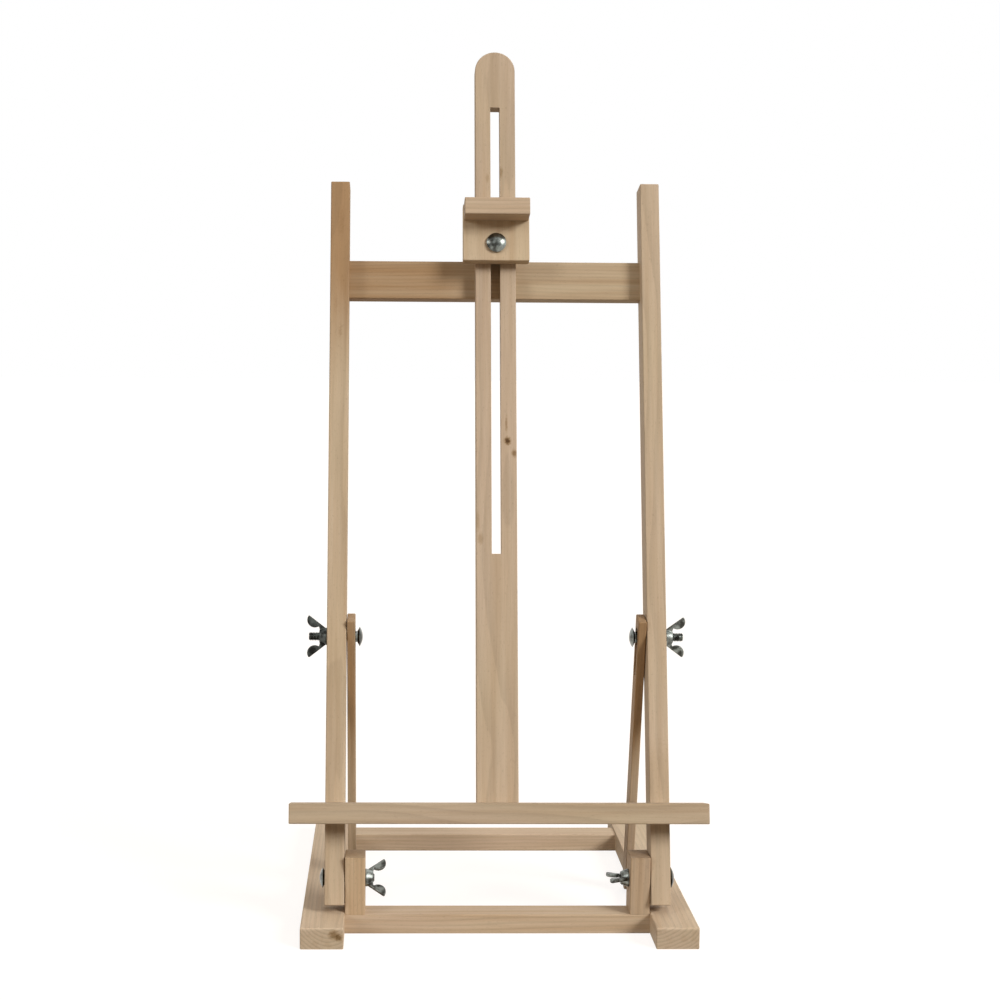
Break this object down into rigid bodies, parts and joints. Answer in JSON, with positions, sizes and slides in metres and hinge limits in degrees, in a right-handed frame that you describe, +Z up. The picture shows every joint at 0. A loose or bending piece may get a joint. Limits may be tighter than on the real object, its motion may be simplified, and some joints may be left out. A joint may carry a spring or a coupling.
{
  "type": "table-top artist easel",
  "caption": "Wooden table-top easel: leaning frame with a slotted mast, canvas clamp and ledge, hinged on a flat rectangular base and propped by slotted struts with wing nuts.",
  "frame": {"origin": "centre of the base's footprint, on the surface it stands on", "axes": "+X to the easel's right as seen from the front, +Y to the back, +Z up; the canvas side faces -Y"},
  "size_m": [0.372, 0.356, 0.8022],
  "materials": {
    "beech_base": "unfinished, sanded",
    "beech_frame": "unfinished, sanded",
    "beech_mast": "unfinished, sanded",
    "beech_tray": "unfinished, sanded",
    "beech_strut": "unfinished, sanded",
    "beech_clamp": "unfinished, sanded",
    "zinc_plated_steel": "bright zinc plating"
  },
  "bodies": {
    "base": {"base_rail_left": "beech_base", "base_rail_right": "beech_base", "front_crossbar": "beech_base", "rear_crossbar": "beech_base", "base_dowels": "beech_base", "pivot_upright_left": "beech_base", "pivot_upright_right": "beech_base", "upright_screws": "zinc_plated_steel", "strut_pivot_screw_left": "zinc_plated_steel", "strut_pivot_screw_right": "zinc_plated_steel"},
    "frame": {"side_post_left": "beech_frame", "side_post_right": "beech_frame", "upper_crossbar": "beech_frame", "crossbar_screws": "zinc_plated_steel", "mast": "beech_mast", "mast_screws": "zinc_plated_steel", "tray": "beech_tray", "tray_post_screws": "zinc_plated_steel", "tray_mast_screws": "zinc_plated_steel", "pivot_bolt_left": "zinc_plated_steel", "pivot_bolt_right": "zinc_plated_steel", "strut_bolt_left": "zinc_plated_steel", "strut_bolt_right": "zinc_plated_steel"},
    "strut_left": {"strut_left": "beech_strut"},
    "strut_right": {"strut_right": "beech_strut"},
    "clamp": {"clamp_plate": "beech_clamp", "clamp_lip": "beech_clamp", "clamp_bolt": "zinc_plated_steel"},
    "pivot_nut_left": {"wing_nut_pivot_left": "zinc_plated_steel"},
    "pivot_nut_right": {"wing_nut_pivot_right": "zinc_plated_steel"},
    "strut_nut_left": {"wing_nut_strut_left": "zinc_plated_steel"},
    "strut_nut_right": {"wing_nut_strut_right": "zinc_plated_steel"},
    "clamp_nut": {"clamp_wing_nut": "zinc_plated_steel"}
  },
  "joints": [
    {"name": "frame_tilt", "type": "hinge", "parent": "base", "child": "frame", "pos_m": [0, -0.125, 0.0475], "axis": [-1, 0, 0], "range_deg": [0, 16]},
    {"name": "strut_swing_left", "type": "hinge", "parent": "base", "child": "strut_left", "pos_m": [-0.13295, -0.016, 0.0115], "axis": [-1, 0, 0], "range_deg": [0, 13]},
    {"name": "strut_swing_right", "type": "hinge", "parent": "base", "child": "strut_right", "pos_m": [0.13295, -0.016, 0.0115], "axis": [-1, 0, 0], "range_deg": [0, 13]},
    {"name": "clamp_slide", "type": "slide", "parent": "frame", "child": "clamp", "axis": [0, 0.2385, 0.9711], "range_m": [0, 0.13]},
    {"name": "pivot_nut_turn_left", "type": "hinge", "parent": "frame", "child": "pivot_nut_left", "pos_m": [-0.1187, -0.125, 0.0475], "axis": [-1, 0, 0], "range_deg": [-180, 180]},
    {"name": "strut_nut_turn_left", "type": "hinge", "parent": "frame", "child": "strut_nut_left", "pos_m": [-0.155, -0.07329, 0.25804], "axis": [-1, 0, 0], "range_deg": [-180, 180]},
    {"name": "pivot_nut_turn_right", "type": "hinge", "parent": "frame", "child": "pivot_nut_right", "pos_m": [0.1187, -0.125, 0.0475], "axis": [1, 0, 0], "range_deg": [-180, 180]},
    {"name": "strut_nut_turn_right", "type": "hinge", "parent": "frame", "child": "strut_nut_right", "pos_m": [0.155, -0.07329, 0.25804], "axis": [1, 0, 0], "range_deg": [-180, 180]},
    {"name": "clamp_nut_turn", "type": "hinge", "parent": "clamp", "child": "clamp_nut", "pos_m": [0, 0.01402, 0.61306], "axis": [0, 0.9711, -0.2385], "range_deg": [-30, 30]}
  ],
  "couplings": [
    {"joint": "strut_swing_left", "follows": "frame_tilt", "ratio": 0.7911},
    {"joint": "strut_swing_right", "follows": "frame_tilt", "ratio": 0.7911}
  ]
}
